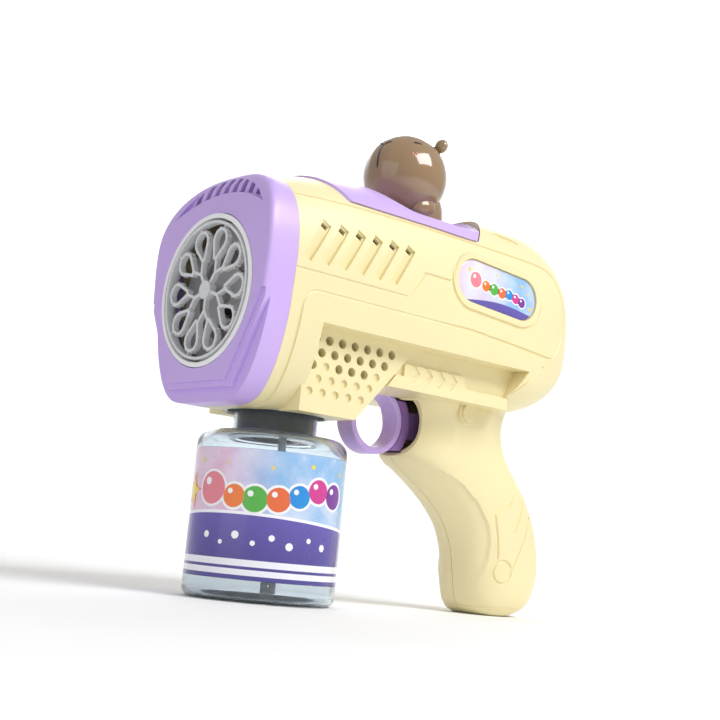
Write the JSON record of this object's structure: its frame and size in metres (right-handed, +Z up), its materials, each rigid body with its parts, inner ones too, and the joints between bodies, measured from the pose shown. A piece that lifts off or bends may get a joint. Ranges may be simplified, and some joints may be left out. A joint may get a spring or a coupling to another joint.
{
  "type": "bubble machine",
  "caption": "Pistol-shaped electric bubble blower with a turning loop wheel, finger-ring trigger, screw-on solution bottle and a small animal figure on top.",
  "frame": {"origin": "centre of the bottle's flat foot, on the surface that the machine stands on", "axes": "+Z up along the bottle, -Y towards the nose that blows the bubbles, +X towards the machine's left side"},
  "size_m": [0.0794, 0.1926, 0.206],
  "materials": {
    "cream_abs": "satin moulded, fine grain",
    "lavender_abs": "satin moulded",
    "white_plastic": "moulded",
    "clear_wheel": "milky translucent",
    "grey_plastic": "moulded",
    "black_plastic": "moulded",
    "brown_gloss": "glossy painted figure",
    "badge_print": "printed film with gradient, wave band and stars",
    "label_print": "printed wrap film",
    "clear_pet": "clear blown bottle",
    "soft_tube": "clear silicone tube",
    "steel": "plain",
    "brass": "plain",
    "gear_natural": "moulded acetal",
    "gear_blue": "moulded acetal",
    "copper": "varnished winding",
    "red_plastic": "moulded",
    "black_rubber": "moulded",
    "cell_wrap": "shrink-wrapped cell, no lettering"
  },
  "bodies": {
    "housing": {"housing_left": "cream_abs", "housing_right": "cream_abs", "nose_bezel": "lavender_abs", "saddle_trim": "lavender_abs", "nose_ring": "white_plastic", "air_baffle": "grey_plastic", "drip_tray": "white_plastic", "feed_nozzle": "black_plastic", "figure_body": "brown_gloss", "figure_head": "brown_gloss", "figure_ears": "brown_gloss", "badge_left": "badge_print", "badge_right": "badge_print", "trigger_spring": "steel", "switch_body": "black_plastic", "switch_terminals": "brass", "motor_can": "steel", "motor_endcap": "black_plastic", "fan_housing": "grey_plastic", "air_duct": "white_plastic", "gearbox_front": "grey_plastic", "gearbox_rear": "grey_plastic", "gearbox_pillars": "steel", "gear_axles": "steel", "pump_shoe": "grey_plastic", "feed_tube": "soft_tube", "suction_tube": "soft_tube", "dip_tube": "soft_tube", "tube_filter": "grey_plastic", "bottle_socket": "white_plastic", "battery_tray": "grey_plastic", "batteries": "cell_wrap", "battery_contacts": "brass", "battery_springs": "steel", "housing_screws": "steel", "motor_wires": "red_plastic"},
    "rotor": {"motor_shaft": "steel", "motor_armature": "copper", "motor_pinion": "brass", "fan_impeller": "white_plastic"},
    "first_gear": {"gear_first": "gear_natural"},
    "second_gear": {"gear_second": "gear_blue"},
    "wheel": {"bubble_wheel": "clear_wheel", "wheel_shaft": "steel", "wheel_gear": "white_plastic"},
    "pump": {"pump_rotor": "white_plastic", "pump_rollers": "steel", "pump_gear": "white_plastic"},
    "trigger": {"trigger_ring": "lavender_abs"},
    "plunger": {"switch_plunger": "red_plastic"},
    "neck_seal": {"seal_ring": "black_rubber"},
    "bottle": {"bottle": "clear_pet", "bottle_label": "label_print", "bottle_insert": "black_plastic"},
    "cover": {"battery_cover": "cream_abs", "cover_screw": "steel"}
  },
  "joints": [
    {"name": "motor_spin", "type": "hinge", "parent": "housing", "child": "rotor", "pos_m": [0.00514, 0.04, 0.12801], "axis": [0, 1, 0], "continuous": true},
    {"name": "first_gear_spin", "type": "hinge", "parent": "housing", "child": "first_gear", "pos_m": [-0.00934, 0.015, 0.13189], "axis": [0, 1, 0], "continuous": true},
    {"name": "second_gear_spin", "type": "hinge", "parent": "housing", "child": "second_gear", "pos_m": [-0.01655, 0.015, 0.11942], "axis": [0, 1, 0], "continuous": true},
    {"name": "wheel_spin", "type": "hinge", "parent": "housing", "child": "wheel", "pos_m": [0, -0.039, 0.1165], "axis": [0, 1, 0], "continuous": true},
    {"name": "pump_spin", "type": "hinge", "parent": "housing", "child": "pump", "pos_m": [0.0111, 0, 0.09727], "axis": [0, 1, 0], "continuous": true},
    {"name": "trigger_pull", "type": "slide", "parent": "housing", "child": "trigger", "axis": [0, 1, 0], "range_m": [0, 0.004], "stiffness_N_per_m": 400, "springref_m": -0.004, "deforming": ["trigger_spring"]},
    {"name": "switch_press", "type": "slide", "parent": "housing", "child": "plunger", "axis": [0, 1, 0], "range_m": [0, 0.004]},
    {"name": "bottle_drop", "type": "slide", "parent": "housing", "child": "neck_seal", "axis": [0, 0, -1], "range_m": [0, 0.006]},
    {"name": "bottle_unscrew", "type": "hinge", "parent": "neck_seal", "child": "bottle", "pos_m": [0, 0, 0.07], "axis": [0, 0, -1], "range_deg": [0, 540]},
    {"name": "cover_off", "type": "slide", "parent": "housing", "child": "cover", "axis": [-1, 0, 0], "range_m": [0, 0.03]}
  ],
  "couplings": [
    {"joint": "first_gear_spin", "follows": "motor_spin", "ratio": -0.25},
    {"joint": "second_gear_spin", "follows": "motor_spin", "ratio": 0.083333},
    {"joint": "wheel_spin", "follows": "motor_spin", "ratio": -0.022727},
    {"joint": "pump_spin", "follows": "motor_spin", "ratio": 0.033333},
    {"joint": "switch_press", "follows": "trigger_pull", "ratio": 1},
    {"joint": "bottle_drop", "follows": "bottle_unscrew", "m_per_rad": 0.00063662}
  ]
}
